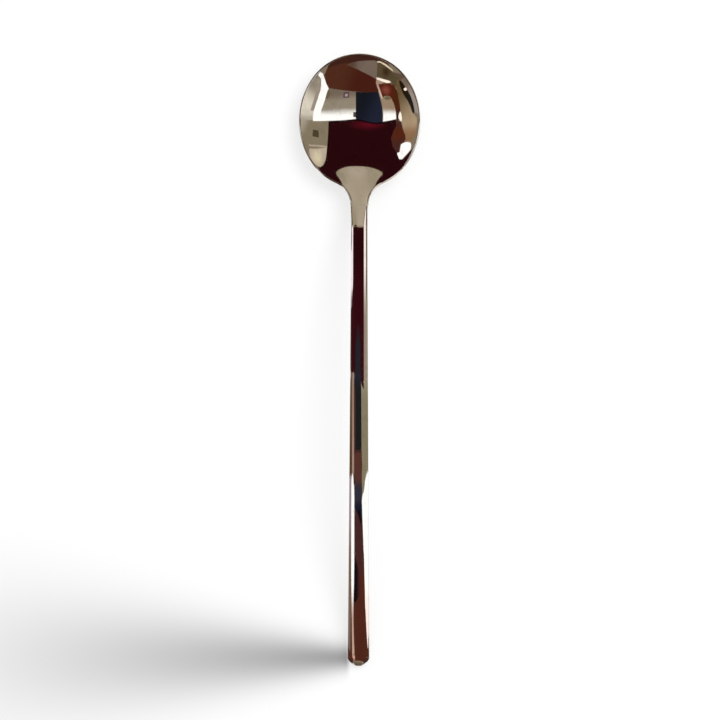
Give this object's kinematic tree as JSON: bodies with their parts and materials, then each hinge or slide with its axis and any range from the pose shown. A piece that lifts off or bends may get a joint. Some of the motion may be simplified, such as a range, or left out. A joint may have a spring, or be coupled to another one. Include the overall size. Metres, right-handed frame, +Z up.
{
  "type": "soup spoon",
  "caption": "Polished steel soup spoon: a round, shallow bowl, a rising neck and a long, slim, arched handle with bevelled edges and a chamfered end.",
  "frame": {"origin": "middle of the spoon's box, on the table that it lies on", "axes": "+Z up, out of the bowl's hollow; +Y along the handle towards the tip of the bowl; +X across the bowl"},
  "size_m": [0.0404, 0.205, 0.023],
  "materials": {
    "polished_steel": "mirror polished stainless steel",
    "silver_solder": "polished flush with the steel"
  },
  "bodies": {
    "root": {"bowl": "polished_steel", "neck_solder": "silver_solder", "handle_front_shell": "polished_steel", "handle_back_shell": "polished_steel", "seam_solder": "silver_solder", "end_solder": "silver_solder", "end_plug": "polished_steel"}
  },
  "joints": []
}
